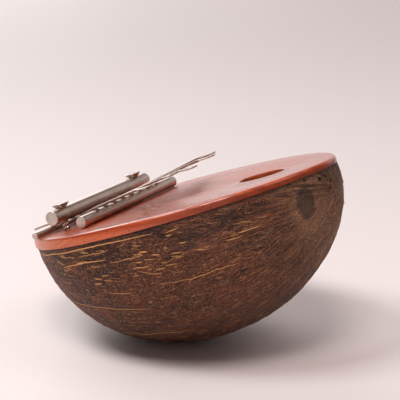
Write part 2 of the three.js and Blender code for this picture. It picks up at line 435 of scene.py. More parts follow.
def paint_husk(s, on):
    """Mottled browns, combed into strands toward the pole, with grit and tan flecks, and painted shade
    toward the nut's bottom.
    """
    s.base = s.blend(s.ramp(on.broad, 0.36, 0.66), (62, 29, 18), (106, 54, 34))
    s.stain(on.warm, 0.5, 0.66, 0.75, (126, 56, 31))
    s.stain(on.patches, 0.5, 0.64, 0.85, (36, 21, 17))
    s.stain(on.streaks, 0.5, 0.68, 0.6, (146, 96, 60))
    s.stain(on.streaks, 0.5, 0.36, 0.7, (30, 16, 13))
    s.stain(on.curls, 0.58, 0.65, 0.5, (176, 124, 84))
    s.stain(on.hairs, 0.58, 0.7, 0.55, (172, 124, 86))
    combed = s.times(s.ramp(on.toward_pole, 0.15, 0.6), s.ramp(on.strands, 0.5, 0.6, 0.0, 0.85))
    s.paint(combed, (172, 118, 88))
    gaps = s.times(s.ramp(on.toward_pole, 0.1, 0.5), s.ramp(on.strands, 0.48, 0.4, 0.0, 0.7))
    s.paint(gaps, (40, 20, 15))
    s.stain(on.grit, 0.55, 0.7, 0.8, (26, 14, 11))
    s.paint(s.times(on.flecks, 0.8), (196, 140, 90))
    s.paint(s.times(on.dots, s.ramp(on.toward_pole, 0.6, 0.2, 0.0, 0.75)), (180, 130, 94))
    s.stain(on.fine, 0.52, 0.64, 0.6, (22, 10, 8))
    s.stain(on.fine, 0.43, 0.33, 0.45, (164, 100, 62))
    # painted shade: darker toward the bottom of the nut and on its inner wall
    s.stain(on.below_rim, 32.0, 48.0, 0.45, (26, 12, 8))


def paint_pole(s, on):
    """The paler, furrowed end of the nut and the scars around its eyes."""
    s.paint(s.times(on.pole, s.ramp(on.streaks, 0.3, 0.62, 0.15, 0.7)), (160, 114, 86))
    s.paint(s.times(on.eye_surround, s.ramp(on.streaks, 0.34, 0.6, 0.35, 0.95)), (156, 108, 78))
    either = s.math("MAXIMUM", on.pole, on.eye_surround)
    s.paint(s.times(either, s.ramp(on.hairs, 0.48, 0.36, 0.0, 0.8)), (40, 22, 16))
    s.paint(s.times(either, s.ramp(on.curls, 0.52, 0.6, 0.0, 0.7)), (196, 156, 118))


def paint_rim(s, on):
    """Scorched patches below the rim, and painted shade in a dark line right under the board's edge."""
    patches = s.ramp(on.patches, 0.44, 0.54, 0.0, 0.8)
    scorched = s.times(s.ramp(on.below_rim, 4.0, 13.0, 1.0, 0.0), patches)
    scorched = s.times(scorched, s.ramp(on.streaks, 0.45, 0.6, 1.0, 0.2))
    s.paint(scorched, (38, 18, 12))
    # painted shade: a dark line just under the board's edge
    rim_shade_line = s.times(s.ramp(on.below_rim, 0.5, 1.8, 0.7, 0.0), s.ramp(on.streaks, 0.4, 0.62, 1.0, 0.45))
    s.paint(rim_shade_line, (44, 30, 27))


def paint_eyes(s, on):
    """The dull skin of the eyes, and painted shade in the pits."""
    dull = s.blend(s.ramp(on.streaks, 0.38, 0.62), (40, 29, 26), (84, 64, 53))
    s.paint(s.times(on.eye, s.ramp(on.warm, 0.36, 0.56, 0.95, 0.75)), dull)
    # painted shade: near-black in the pits
    s.paint(on.hollow, (12, 8, 7))


def shell_material():
    """Scraped coconut shell: dark brown, mottled, with tan fibres along the meridians."""
    s = Shader("scraped_coconut")
    on = shell_patterns(s)
    paint_husk(s, on)
    paint_pole(s, on)
    paint_rim(s, on)
    paint_eyes(s, on)
    height = s.math("ADD", on.streaks, s.times(on.hairs, 0.6))
    height = s.math("ADD", height, s.times(on.curls, 0.5))
    height = s.math("SUBTRACT", height, s.times(on.grit, 0.6))
    s.set(
        Base_Color=s.base,
        Roughness=s.ramp(on.streaks, 0.3, 0.7, 0.42, 0.66),
        Normal=s.bump(height, 1.0, 0.0007),
        Specular_IOR_Level=0.3,
    )
    return s.material


def fibre_material():
    """Loose tan husk fibres lying on the shell."""
    s = Shader("husk_fibre")
    shade = s.attribute("shade")
    s.base = s.blend(shade, (96, 58, 38), (226, 166, 104))
    streak = s.noise(s.object_place(), 2500.0, 2.0)
    s.stain(streak, 0.45, 0.7, 0.45, (84, 50, 33))
    s.set(Base_Color=s.base, Roughness=0.55, Specular_IOR_Level=0.3)
    return s.material


def board_material():
    """Reddish open-pored hardwood under a glossy varnish, its grain along the board; painted shade toward
    the metal end, painted light and shade on its side.
    """
    s = Shader("varnished_hardwood")
    grain = s.surface_map()
    bands = s.noise(s.scaled(grain, (0.012, 0.16, 0.16)), 1.0, 3.0, 0.55, 0.5)
    lines = s.noise(s.scaled(grain, (0.05, 1.3, 1.3)), 1.0, 4.0, 0.6, 0.3)
    blotches = s.noise(s.scaled(grain, (0.1, 0.22, 0.22), (2.0, 9.0, 0.0)), 1.0, 4.0, 0.6)
    pores = s.noise(s.scaled(grain, (0.5, 3.8, 3.8)), 1.0, 1.0, 0.5)
    along = s.attribute("along_board")
    side = s.attribute("side")
    metal_end = s.ramp(s.math("ADD", along, s.times(bands, 0.5)), 0.85, 0.35)
    s.base = s.blend(s.ramp(bands, 0.35, 0.68), (164, 58, 24), (208, 94, 40))
    s.stain(lines, 0.45, 0.72, 0.55, (128, 40, 18))
    s.stain(blotches, 0.5, 0.72, 0.4, (216, 108, 48))
    # painted shade: the board darker toward the metal end, under the rods
    s.paint(s.times(metal_end, 0.5), (120, 42, 20))
    # painted light: the side paler at the metal end, where the light falls from the left
    painted_side_light = s.times(side, s.ramp(lines, 0.35, 0.6, 0.85, 0.4))
    s.paint(s.times(painted_side_light, metal_end), (236, 122, 52))
    # painted shade: the side darker toward the sound hole
    s.paint(s.times(side, s.ramp(along, 0.45, 0.85, 0.0, 0.75)), (112, 44, 20))
    s.stain(pores, 0.6, 0.72, 0.75, (78, 26, 16))
    speck = s.flecks(s.scaled(grain, (0.55, 0.9, 0.9)), 0.12)
    s.paint(s.times(speck, 0.8), (50, 14, 10))
    height = s.math("SUBTRACT", s.times(lines, 0.4), s.ramp(pores, 0.62, 0.74))
    height = s.math("SUBTRACT", height, s.times(speck, 2.0))
    s.set(
        Base_Color=s.base,
        Roughness=s.ramp(lines, 0.3, 0.7, 0.34, 0.46),
        Normal=s.bump(height, 0.22, 0.0002),
        Specular_IOR_Level=0.3,
        Coat_Weight=s.ramp(along, 0.1, 0.6, 0.3, 0.9),
        Coat_Roughness=0.12,
    )
    return s.material


def block_material():
    """Raw sawn softwood."""
    s = Shader("raw_wood")
    place = s.object_place()
    bands = s.noise(s.scaled(place, (60.0, 9.0, 60.0)), 1.0, 3.0)
    fibres = s.noise(s.scaled(place, (900.0, 60.0, 900.0)), 1.0, 3.0)
    s.base = s.blend(s.ramp(bands, 0.3, 0.7), (176, 134, 92), (206, 170, 124))
    s.stain(fibres, 0.5, 0.7, 0.5, (140, 100, 66))
    s.set(Base_Color=s.base, Roughness=0.8, Normal=s.bump(fibres, 0.4, 0.0004))
    return s.material


def steel_material(name, tone, dark, roughness, streak_scale):
    """Plain steel with drawing marks, faint clouding and a little grime."""
    s = Shader(name)
    place = s.object_place()
    marks = s.noise(s.scaled(place, streak_scale), 1.0, 4.0, 0.65)
    cloud = s.noise(place, 120.0, 4.0, 0.6)
    spots = s.noise(place, 900.0, 2.0, 0.5)
    s.base = s.blend(s.ramp(cloud, 0.42, 0.75, 0.0, 0.5), tone, dark)
    s.stain(marks, 0.5, 0.72, 0.4, dark)
    s.stain(spots, 0.66, 0.74, 0.35, (96, 76, 64))
    wear = s.math("ADD", marks, s.times(cloud, 0.3))
    s.set(
        Base_Color=s.base,
        Metallic=1.0,
        Roughness=s.ramp(wear, 0.35, 0.95, *roughness),
        Normal=s.bump(s.math("ADD", marks, spots), 0.12, 0.0001),
    )
    return s.material


def floor_material():
    s = Shader("pale_floor")
    s.set(Base_Color=(238, 231, 230), Roughness=0.65, Specular_IOR_Level=0.2)
    return s.material


# ---- the nut


def seat_height(x):
    return SEAT_MIDDLE + SEAT_SLOPE * x


def meridian(s, inset=0.0):
    """Radius of the nut about its axis at s, from -1 at the metal end's pole to 1 at the other."""
    full = np.clip(1 - np.abs(s) ** NUT_FULLNESS, 0, 1) ** (1 / NUT_SHOULDER)
    return (NUT_RADIUS - inset) * full * (1 + NUT_EGG_LINEAR * s + NUT_EGG_CUBIC * s ** 3)


def nut_point(s, angle, inset=0.0, lift=0.0):
    """Board-frame points on the nut; angle is from the nut's underside, positive to +y."""
    along = (NUT_HALF_LENGTH - inset) * s
    radius = meridian(s, inset) + lift
    up = -radius * np.cos(angle)
    x = along * math.cos(NUT_AXIS_DIP) + up * math.sin(NUT_AXIS_DIP)
    z = NUT_AXIS_HEIGHT - along * math.sin(NUT_AXIS_DIP) + up * math.cos(NUT_AXIS_DIP)
    return np.stack([x, radius * np.sin(angle), z], axis=-1)


def cut_height(s, inset, gap):
    """Height above the nut's axis, square to it, at which the seat plane cuts the ring at s."""
    along = (NUT_HALF_LENGTH - inset) * s
    rise = SEAT_MIDDLE - gap - NUT_AXIS_HEIGHT
    rise = rise + along * (math.sin(NUT_AXIS_DIP) + SEAT_SLOPE * math.cos(NUT_AXIS_DIP))
    return rise / (math.cos(NUT_AXIS_DIP) - SEAT_SLOPE * math.sin(NUT_AXIS_DIP))


def crossing(test, low, high):
    """The two nearly equal values between which a test turns from true to false."""
    for _ in range(50):
        middle = (low + high) / 2
        if test(middle):
            low = middle
        else:
            high = middle
    return low, high


def first_ring(inset, gap):
    """s of the ring that only just reaches the seat plane at the metal end."""
    return crossing(lambda s: -cut_height(s, inset, gap) > meridian(s, inset), -1.0, 0.0)[1]


def nut_grid(rows, columns, inset=0.0, gap=SHELL_CLEARANCE):
    """s and angle of a grid that covers the nut below the seat plane, rim to rim."""
    start = first_ring(inset, gap)
    turn = np.linspace(0, math.pi, rows)
    s = start + (1 - start) * (1 - np.cos(turn)) / 2
    radius = np.maximum(meridian(s, inset), 1e-6)
    reach = np.arccos(np.clip(-cut_height(s, inset, gap) / radius, -1, 1))
    share = np.linspace(-1, 1, columns)
    return np.repeat(s, columns), (reach[:, None] * share[None, :]).ravel()


def girth_place(s, angle, along_size, round_size):
    """Noise coordinates on the nut: features that long along a meridian and that wide round it."""
    meridians = np.stack([np.cos(angle), np.sin(angle)], axis=-1) * NUT_RADIUS / round_size
    return np.column_stack([NUT_HALF_LENGTH * s / along_size, meridians])


POLE_STRETCH = 1.7  # near the pole the surface is that much longer than its share of the axis
# the three germination eyes: s, degrees from the underside, then half sizes along the nut
# and round it, mm
EYES = [(0.9, -85, 3.9, 7.2), (0.93, 38, 2.6, 3.2), (0.9, 150, 2.4, 3.0)]
# small holes near the pole: s, degrees from the underside, radius in mm
PITS = [
    (0.907, -110.5, 0.6), (0.954, -114.6, 1.0), (0.968, -125, 0.6), (0.981, -96, 0.8),
    (0.984, -122, 0.7), (0.985, -76, 0.5), (0.987, -51, 0.5), (0.98, -20, 0.5),
    (0.976, -86, 0.4), (0.93, -104, 0.35), (0.972, 30, 0.6), (0.94, 95, 0.6),
]


def eye_distance(s, angle, eye, wobble):
    """Distance from an eye's middle, 1 at its ragged edge."""
    middle, degrees, length, width = eye
    along = NUT_HALF_LENGTH * (s - middle) * POLE_STRETCH / length
    turn = (angle - math.radians(degrees) + math.pi) % (2 * math.pi) - math.pi
    return np.hypot(along, meridian(middle) * turn / width) + 0.2 * wobble


def eye_marks(s, angle):
    """The share of each point that lies in an eye, and in the paler scar around one."""
    wobble = smooth_noise(girth_place(s, angle, 2.2, 2.2), 5)
    inside = np.zeros_like(s)
    around = np.zeros_like(s)
    for eye in EYES:
        distance = eye_distance(s, angle, eye, wobble)
        inside = np.maximum(inside, 1 - smooth_step(0.78, 1.08, distance))
        around = np.maximum(around, 1 - smooth_step(1.1, 2.0, distance))
    return inside, around


def outer_relief(s, angle, eyes):
    """Unevenness of the scraped nut in mm."""
    lumps = smooth_noise(girth_place(s, angle, 22, 16), 1)
    scrapes = smooth_noise(girth_place(s, angle, 9, 2.6), 2)
    ridges = smooth_noise(girth_place(s, angle, 4, 1.2), 3)
    grit = smooth_noise(girth_place(s, angle, 1.2, 1.1), 4)
    rough = 1 + 0.9 * smooth_step(0.7, 0.95, s)
    relief = 0.28 * lumps + rough * (0.2 * scrapes + 0.2 * ridges + 0.12 * grit)
    relief = relief * (1 - 0.6 * eyes) - 0.5 * eyes
    return relief - 1.2 * pit_share(s, angle)


def pit_share(s, angle):
    """1 in the middle of a pit, falling off smoothly around it."""
    place = nut_point(s, angle)
    share = np.zeros_like(s)
    for pit_s, degrees, radius in PITS:
        centre = nut_point(np.array([pit_s]), np.array([math.radians(degrees)]))
        away = np.linalg.norm(place - centre, axis=-1)
        share = np.maximum(share, np.exp(-((away / radius) ** 2)))
    return share


def lowered_to_table(points):
    """Moves what would reach below the table up to it, as the sanded flat does."""
    height = to_row(points)[:, 2] / MM
    table_up = np.array(TURN.transposed() @ Vector((0, 0, 1)))
    return points + np.maximum(-height, 0)[:, None] * table_up


def rim_faces(outer_angle, inner_angle):
    """Quads along both rims, from a grid of vertices outside to the one inside that follows it."""
    rows, outer_columns = outer_angle.shape
    inner_columns = inner_angle.shape[1]
    whole = np.isclose(np.abs(outer_angle[:, 0]), math.pi) & np.isclose(np.abs(inner_angle[:, 0]), math.pi)
    faces = []
    for i in range(rows - 1):
        if whole[i] and whole[i + 1]:
            continue
        for outer_edge, inner_edge in ((0, 0), (outer_columns - 1, inner_columns - 1)):
            a = i * outer_columns + outer_edge
            b = outer_angle.size + i * inner_columns + inner_edge
            faces.append((a, a + outer_columns, b + inner_columns, b))
    return faces


INSIDE_DEPTH = 50  # mm; the inner wall is coloured as if this far below the rim, so it also takes the painted shade of the nut's bottom


def make_shell():
    """The half nut: a rough outside, a smooth inside and a rim between them."""
    rows, outer_columns, inner_columns = 300, 250, 48
    s, angle = nut_grid(rows, outer_columns)
    plain = nut_point(s, angle)
    below_rim = seat_height(plain[:, 0]) - plain[:, 2]
    eyes, around = eye_marks(s, angle)
    relief = outer_relief(s, angle, eyes)
    keep = smooth_step(0.0, 2.5, below_rim) * smooth_step(0.0, 0.02, 1.0 - s)
    outer = lowered_to_table(nut_point(s, angle, lift=relief * keep))
    inner_s, inner_angle = nut_grid(rows, inner_columns, NUT_WALL)
    inner = nut_point(inner_s, inner_angle, NUT_WALL)
    faces = grid_faces(rows, outer_columns)
    faces += grid_faces(rows, inner_columns, len(outer))
    faces += rim_faces(angle.reshape(rows, -1), inner_angle.reshape(rows, -1))
    points = np.vstack([outer, inner])
    shell = add_mesh("shell", points, faces, shell_material(), "resonator")
    pole = smooth_step(0.74, 0.97, s + 0.06 * smooth_noise(plain / 7.0, 8))
    # mask for the painted shade in the pits
    hollow = smooth_step(0.3, 0.7, pit_share(s, angle))
    for name, values in zip(SHELL_MARKS, (below_rim, pole, s, eyes, around, hollow)):
        inside = INSIDE_DEPTH if name == "below_rim" else 0
        set_attribute(shell, name, np.concatenate([values, np.full(len(inner), inside)]))
    # UVs in mm: along the meridian, then round the nut
    along = NUT_HALF_LENGTH * np.concatenate([s, inner_s])
    set_uvs(shell, "nut_map", np.column_stack([along, NUT_RADIUS * np.concatenate([angle, inner_angle])]))
    tidy_mesh(shell, merge=2e-6)
    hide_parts("coconut_shell")


# ---- husk fibres

# the longest fibres left on the nut: (s, degrees from the underside), width and shade
RIM_FIBRE = [(-0.735, -79.7), (-0.51, -84.1), (-0.3, -86.7), (-0.135, -88.2), (0.01, -88.9), (0.2, -89.9)]
LONG_FIBRES = [
    (RIM_FIBRE, 0.6, 0.9),
    ([(-0.46, -78), (-0.36, -79.8), (-0.27, -81.2), (-0.19, -81.7), (-0.11, -82.1)], 0.55, 0.9),
    ([(-0.08, -80.4), (0.04, -81.2), (0.12, -82)], 0.45, 0.75),
    ([(-0.3, -83.5), (-0.2, -84.6), (-0.08, -85.4)], 0.4, 0.8),
    ([(0.07, -75.9), (0.14, -73.6), (0.2, -73.1)], 0.42, 0.8),
    ([(0.16, -68.4), (0.32, -67.4), (0.47, -67.6), (0.59, -66.2)], 0.42, 0.8),
    ([(-0.6, -53.5), (-0.445, -56.8), (-0.28, -58.5), (-0.13, -57.9), (0.0, -57)], 0.42, 0.85),
    ([(-0.18, -67), (-0.11, -66.6), (-0.02, -66.5)], 0.38, 0.75),
    ([(-0.4, -36.5), (-0.225, -37.5), (-0.03, -38.5), (0.16, -36.2)], 0.35, 0.7),
]
SHORT_FIBRES = 2100
RIM_FLECKS = 90
BRISTLES = 45
FIBRE_LIFT = 0.02  # off the nut's surface, mm
FIBRE_RANGE = (-0.97, 0.992)  # of s, for the short ones
# hairs seen standing off the pole's outline: s, degrees, length in mm
STRAY_HAIRS = [(0.94, 44, 2.6), (0.943, 47, 2.0), (0.92, 7, 1.6), (0.925, 10, 1.3)]


def strand(points, width, sides=4):
    """A tapering round-backed fibre along board-frame points: its vertices and faces."""
    points = np.asarray(points)
    forward = np.gradient(points, axis=0)
    forward /= np.linalg.norm(forward, axis=1)[:, None]
    outward = points - np.array([0.0, 0.0, NUT_AXIS_HEIGHT])
    outward[:, 0] *= 0.35
    side = np.cross(forward, outward)
    side /= np.linalg.norm(side, axis=1)[:, None]
    up = np.cross(side, forward)
    share = np.linspace(0, 1, len(points))
    taper = 0.25 + 0.75 * np.sqrt(np.clip(np.sin(math.pi * share), 0, 1))
    vertices = []
    for k in range(sides):
        turn = 2 * math.pi * (k + 0.5) / sides
        offset = math.cos(turn) * side + 0.55 * math.sin(turn) * up
        vertices.append(points + offset * (taper * width / 2)[:, None])
    return np.stack(vertices, axis=1).reshape(-1, 3), tube_faces(len(points), sides)


def surface_path(s, angle, lift):
    """Board-frame points that far off the uneven surface, for positions given by s and angle."""
    s = np.asarray(s, float)
    angle = np.asarray(angle, float)
    relief = outer_relief(s, angle, eye_marks(s, angle)[0])
    return nut_point(s, angle, lift=relief + lift)


def long_fibre(route):
    """A resampled, slightly wandering version of a route of (s, degrees) stops."""
    stops = np.array(route, float)
    count = 46
    share = np.linspace(0, 1, count)
    knots = np.linspace(0, 1, len(stops))
    s = np.interp(share, knots, stops[:, 0])
    degrees = np.interp(share, knots, stops[:, 1])
    seed = np.column_stack([share * 11, np.full(count, stops[0, 0] * 31), np.zeros(count)])
    degrees = degrees + 0.22 * smooth_noise(seed, 9) + 0.1 * smooth_noise(seed * 3.1, 10)
    return s, np.radians(degrees)


def path_about(middle, angle, length, slant, bow=0.0):
    """A short (s, angle) path about its middle; slant and bow are in radians round the nut."""
    share = np.linspace(-1, 1, 6)
    s = middle + length / 2 / NUT_HALF_LENGTH * share
    return np.clip(s, *FIBRE_RANGE), angle + slant * share / 2 + bow * (1 - share ** 2)


def short_fibre():
    """A short strand at a random place, lying roughly along a meridian."""
    middle = RNG.uniform(-0.93, 0.97)
    radius = max(meridian(middle), 8.0)
    angle = RNG.uniform(-1.9, 1.9)
    length = RNG.gamma(1.8, 0.9) + 0.8
    slant = RNG.normal(0, 0.3) * length / radius
    return path_about(middle, angle, length, slant, RNG.normal(0, 0.12) * length / radius)


def rim_fleck():
    """A broader golden flake just under the rim, on the camera's side or the far one."""
    middle = RNG.uniform(-0.5, 0.75)
    reach = math.acos(float(np.clip(-cut_height(middle, 0, 0) / meridian(middle), -1, 1)))
    angle = (reach - RNG.uniform(2.5, 17.0) / NUT_RADIUS) * RNG.choice([-1, 1])
    length = RNG.uniform(1.6, 5.0)
    return path_about(middle, angle, length, RNG.normal(0, 0.12) * length / NUT_RADIUS)


def fibre_paths():
    """Every fibre's points, width and shade, the longest ones first."""
    for route, width, shade in LONG_FIBRES:
        s, angle = long_fibre(route)
        yield surface_path(s, angle, 2 * FIBRE_LIFT), width, shade
    for _ in range(SHORT_FIBRES):
        s, angle = short_fibre()
        width = RNG.uniform(0.1, 0.26)
        shade = RNG.beta(1.1, 1.8)
        if lies_clear(s, angle):
            yield surface_path(s, angle, FIBRE_LIFT), width, shade
    for _ in range(RIM_FLECKS):
        s, angle = rim_fleck()
        width = RNG.uniform(0.3, 0.75)
        shade = RNG.uniform(0.35, 0.95)
        if lies_clear(s, angle):
            yield surface_path(s, angle, FIBRE_LIFT), width, shade
    for _ in range(BRISTLES):
        s = RNG.uniform(0.8, 0.985)
        angle = RNG.uniform(-1.6, 1.6)
        length = RNG.uniform(0.7, 1.8)
        yield bristle(s, angle, length), RNG.uniform(0.1, 0.2), RNG.uniform(0.1, 0.7)
    for s, degrees, length in STRAY_HAIRS:
        yield bristle(s, math.radians(degrees), length), 0.26, 0.2


def make_fibres():
    """All the fibres as one piece; each keeps its own shade."""
    blocks, faces, shades = [], [], []
    count = 0
    for points, width, shade in fibre_paths():
        vertices, strand_faces = strand(points, width)
        blocks.append(vertices)
        faces += [tuple(count + k for k in face) for face in strand_faces]
        shades += [shade] * len(vertices)
        count += len(vertices)
    fibres = add_mesh("shell_fibres", np.vstack(blocks), faces, fibre_material(), "resonator")
    set_attribute(fibres, "shade", shades)
    tidy_mesh(fibres)


def lies_clear(s, angle):
    """Whether a fibre keeps off the board, the table and the eyes."""
    points = nut_point(s, angle)
    below_rim = seat_height(points[:, 0]) - points[:, 2]
    height = to_row(points)[:, 2] / MM
    return below_rim.min() > 0.9 and height.min() > 0.7 and eye_marks(s, angle)[0].max() < 0.3


def bristle(s, angle, length):
    """A short hair that stands off the nut near its pole."""
    root = surface_path([s], [angle], -0.1)[0]
    ahead = surface_path([s + 0.01], [angle + RNG.normal(0, 0.05)], -0.1)[0]
    lean = (ahead - root) / np.linalg.norm(ahead - root)
    out = surface_path([s], [angle], 1.0)[0] - root
    out = out / np.linalg.norm(out)
    share = np.linspace(0, 1, 5)[:, None]
    rise = RNG.uniform(0.3, 0.7)
    return root + length * (0.8 * share * lean + rise * share ** 1.6 * out)


# ---- the soundboard


def rim_point(s):
    """x and half-width of the board's outline where the seat plane meets the outside of the nut."""
    height = cut_height(s, 0.0, 0.0)
    x = NUT_HALF_LENGTH * s * math.cos(NUT_AXIS_DIP) + height * math.sin(NUT_AXIS_DIP)
    return x, np.sqrt(np.clip(meridian(s) ** 2 - height ** 2, 0, None))


def last_ring():
    """s at which the outline closes at the sound-hole end."""
    return crossing(lambda s: meridian(s) > cut_height(s, 0.0, 0.0), 0.5, 1.0)[0]


def board_outline(count):
    """The board's outline as evenly spaced points, counter-clockwise from above."""
    start, end = first_ring(0.0, 0.0), last_ring()
    turn = np.linspace(0, math.pi, 900)
    s = (start + end) / 2 - (end - start) / 2 * np.cos(turn)
    x, half = rim_point(s)
    x = x - TIP_REACH * np.maximum(0, 1 - (s - start) / TIP_SHARE) ** 2
    half[0] = half[-1] = 0
    loop = np.column_stack([np.concatenate([x, x[-2::-1]]), np.concatenate([-half, half[-2::-1]])])
    walked = np.concatenate([[0], np.cumsum(np.hypot(*np.diff(loop, axis=0).T))])
    wanted = np.linspace(0, walked[-1], count, endpoint=False)
    return np.column_stack([np.interp(wanted, walked, part) for part in loop.T])


def inset_loop(loop, distance):
    """The loop moved inwards by a distance, square to its own direction."""
    ahead = np.roll(loop, -1, axis=0) - np.roll(loop, 1, axis=0)
    ahead /= np.linalg.norm(ahead, axis=1)[:, None]
    return loop + distance * np.column_stack([-ahead[:, 1], ahead[:, 0]])


def rounding(steps):
    """A quarter turn's (inwards, downwards) shares, from the side wall up to the flat."""
    turn = np.linspace(0, math.pi / 2, steps)
    return [(1 - math.cos(t), 1 - math.sin(t)) for t in turn]


def board_ring(loop, inset, share, rise=0.0):
    """The loop moved inwards, at a share of the board's thickness, or off that by the rise."""
    moved = inset_loop(loop, inset)
    return np.column_stack([moved, share * seat_height(moved[:, 0]) + rise])


def tip_share(loop):
    """1 at the board's tip at the metal end, fading to 0 over TIP_LENGTH along the board."""
    return 1 - smooth_step(0.0, TIP_LENGTH, loop[:, 0] - loop[:, 0].min())


def side_rings():
    """Rings up the board's side, from the rounding of its lower edge to the flat of its top."""
    outline = board_outline(BOARD_POINTS)
    tip = tip_share(outline)[:, None]
    overhang = BOARD_OVERHANG + TIP_OVERHANG * tip
    reach = BOARD_EDGE_REACH + TIP_EDGE_REACH * tip
    rings = []
    for inwards, upwards in rounding(5)[::-1]:
        inset = (BOARD_LOWER_EDGE + TIP_OVERHANG * tip) * inwards - overhang
        rings.append(board_ring(outline, inset, 1.0, BOARD_LOWER_EDGE * (1 - upwards)))
    for inwards, downwards in rounding(9):
        inset = reach * inwards - overhang
        rings.append(board_ring(outline, inset, BOARD_EDGE_SHARE * downwards))
    rings.append(board_ring(outline, BOARD_FLAT_INSET, 0.0))
    return rings


def hole_rings():
    """Rings up the sound hole's wall, with a bevel below and a rounding above."""
    hole = HOLE_RADIUS * unit_circle(HOLE_POINTS)[:, :2] + (HOLE_X, 0.0)
    rings = [board_ring(hole, -HOLE_EDGE, 1.0), board_ring(hole, 0.0, 1.0, HOLE_EDGE)]
    for inwards, downwards in rounding(5):
        rings.append(board_ring(hole, -HOLE_EDGE * inwards, 0.0, -HOLE_EDGE * downwards))
    return rings


def pierced_plate(*walls):
    """Points and faces of a plate between walls, each a stack of rings from below to above."""
    work = bmesh.new()
    walls = [[[work.verts.new(p) for p in ring] for ring in wall] for wall in walls]
    for wall in walls:
        for low, high in zip(wall, wall[1:]):
            for quad in zip(low, low[1:] + low[:1], high[1:] + high[:1], high):
                work.faces.new(quad)
    for level in (-1, 0):
        edges = []
        for wall in walls:
            ring = wall[level]
            edges += [work.edges.get(pair) for pair in zip(ring, ring[1:] + ring[:1])]
        bmesh.ops.triangle_fill(work, use_beauty=True, use_dissolve=False, edges=edges)
    bmesh.ops.recalc_face_normals(work, faces=work.faces)
    work.verts.index_update()
    points = np.array([v.co for v in work.verts])
    faces = [tuple(v.index for v in face.verts) for face in work.faces]
    work.free()
    return points, faces


def make_board():
    """The soundboard, with its edges rounded, its metal end blunted and its hole cut."""
    points, faces = pierced_plate(side_rings(), hole_rings())
    board = add_mesh("soundboard_panel", points, faces, board_material(), "resonator")
    # UVs in mm, along the grain and across it; the side walls carry on from the top face
    set_uvs(board, "grain_map", np.column_stack([points[:, 0], points[:, 1] + 1.3 * points[:, 2]]))
    set_attribute(board, "along_board", (points[:, 0] - points[:, 0].min()) / np.ptp(points[:, 0]))
    set_attribute(board, "side", smooth_step(0.4, 1.2, -points[:, 2]))
    board.data.set_sharp_from_angle(angle=math.radians(40))
    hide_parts("soundboard")


# ---- rods


def cut_with(piece, cutters):
    """Cuts closed cutter meshes out of a piece and deletes them."""
    for cutter in cutters:
        cut = piece.modifiers.new("cut", "BOOLEAN")
        cut.operation = "DIFFERENCE"
        cut.solver = "EXACT"
        cut.object = cutter
    bpy.context.view_layer.update()
    solid = piece.evaluated_get(bpy.context.evaluated_depsgraph_get())
    mesh = bpy.data.meshes.new_from_object(solid)
    piece.modifiers.clear()
    old = piece.data
    piece.data = mesh
    bpy.data.meshes.remove(old)
    for cutter in cutters:
        bpy.data.objects.remove(cutter)


def lathe(profile, columns):
    """Points and faces of a body turned about z from (radius, height) pairs, closed by flat ends."""
    points = [radius * unit_circle(columns) + (0.0, 0.0, height) for radius, height in profile]
    return np.vstack(points), tube_faces(len(profile), columns)


def make_rod(node, name, material, edge):
    """A drawn rod with rounded ends, in the place of a CAD rod that lies across the board."""
    low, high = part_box(node)
    radius = (high.x - low.x) / 2 / MM
    half = (high.y - low.y) / 2 / MM
    end = [(radius * 0.3, half), (radius * 0.75, half)]
    for t in np.linspace(0, math.pi / 2, 6):
        end.append((radius - edge * (1 - math.sin(t)), half - edge * (1 - math.cos(t))))
    barrel = [(radius, y) for y in np.linspace(-half, half, ROD_ROWS)[1:-1]]
    profile = [(r, -y) for r, y in end] + barrel + end[::-1]
    points, faces = lathe(profile, ROD_COLUMNS)
    wander = smooth_noise(points / np.array([3.0, 3.0, 9.0]), 21)
    points[:, :2] *= (1 + ROD_WAVINESS * wander)[:, None]
    points = points[:, [0, 2, 1]] + to_board((low + high) / 2)
    rod = add_mesh(name, points, faces, material, frame["nodes"][node]["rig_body"])
    tidy_mesh(rod)
    rod.data.set_sharp_from_angle(angle=math.radians(38))
    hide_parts(node)
    return rod


def add_cutter(points, faces):
    """A closed mesh from board-frame points, for cut_with."""
    mesh = bpy.data.meshes.new("cutter")
    mesh.from_pydata(to_row(points).tolist(), [], faces)
    cutter = add_object("cutter", mesh)
    tidy_mesh(cutter)
    return cutter


def screw_bore(top):
    """A cutter for a screw's hole and countersink, from the middle of the screw's head."""
    gap = SCREW_CLEARANCE
    profile = [
        (SCREW_THREAD_RADIUS + gap, BAR_CUT_LOW - top[2]),
        (SCREW_THREAD_RADIUS + gap, gap - SCREW_HEAD_RIM - SCREW_CONE),
        (SCREW_HEAD_RADIUS + gap, gap - SCREW_HEAD_RIM),
        (SCREW_HEAD_RADIUS + gap, 3.0),
    ]
    points, faces = lathe(profile, SCREW_COLUMNS)
    return add_cutter(points + top, faces)


# ---- screws


def screw_profile():
    """(radius, height, thread share) rows from the screw's tip to the middle of its head."""
    rows = [(0.0, -SCREW_LENGTH, 0.0)]
    shank_top = -SCREW_HEAD_RIM - SCREW_CONE
    steps = int((SCREW_LENGTH + shank_top) / SCREW_PITCH * 8)
    for height in np.linspace(-SCREW_LENGTH + 0.15, shank_top - 0.1, steps):
        point = min(1.0, 0.1 + (height + SCREW_LENGTH) / SCREW_POINT)
        rows.append((SCREW_CORE_RADIUS * point, height, point))
    head = [
        (SCREW_NECK_RADIUS, shank_top + 0.05),
        (SCREW_NECK_RADIUS + 0.35, shank_top + 0.4),
        (SCREW_HEAD_RADIUS - 0.04, -SCREW_HEAD_RIM - 0.04),
        (SCREW_HEAD_RADIUS, -SCREW_HEAD_RIM),
        (SCREW_HEAD_RADIUS, -0.12),
        (SCREW_HEAD_RADIUS - 0.05, -0.04),
        (SCREW_HEAD_RADIUS - 0.14, 0.0),
        (SCREW_HEAD_RADIUS * 0.75, 0.03),
        (SCREW_HEAD_RADIUS * 0.5, 0.05),
        (0.0, 0.06),
    ]
    return rows + [(radius, height, 0.0) for radius, height in head]


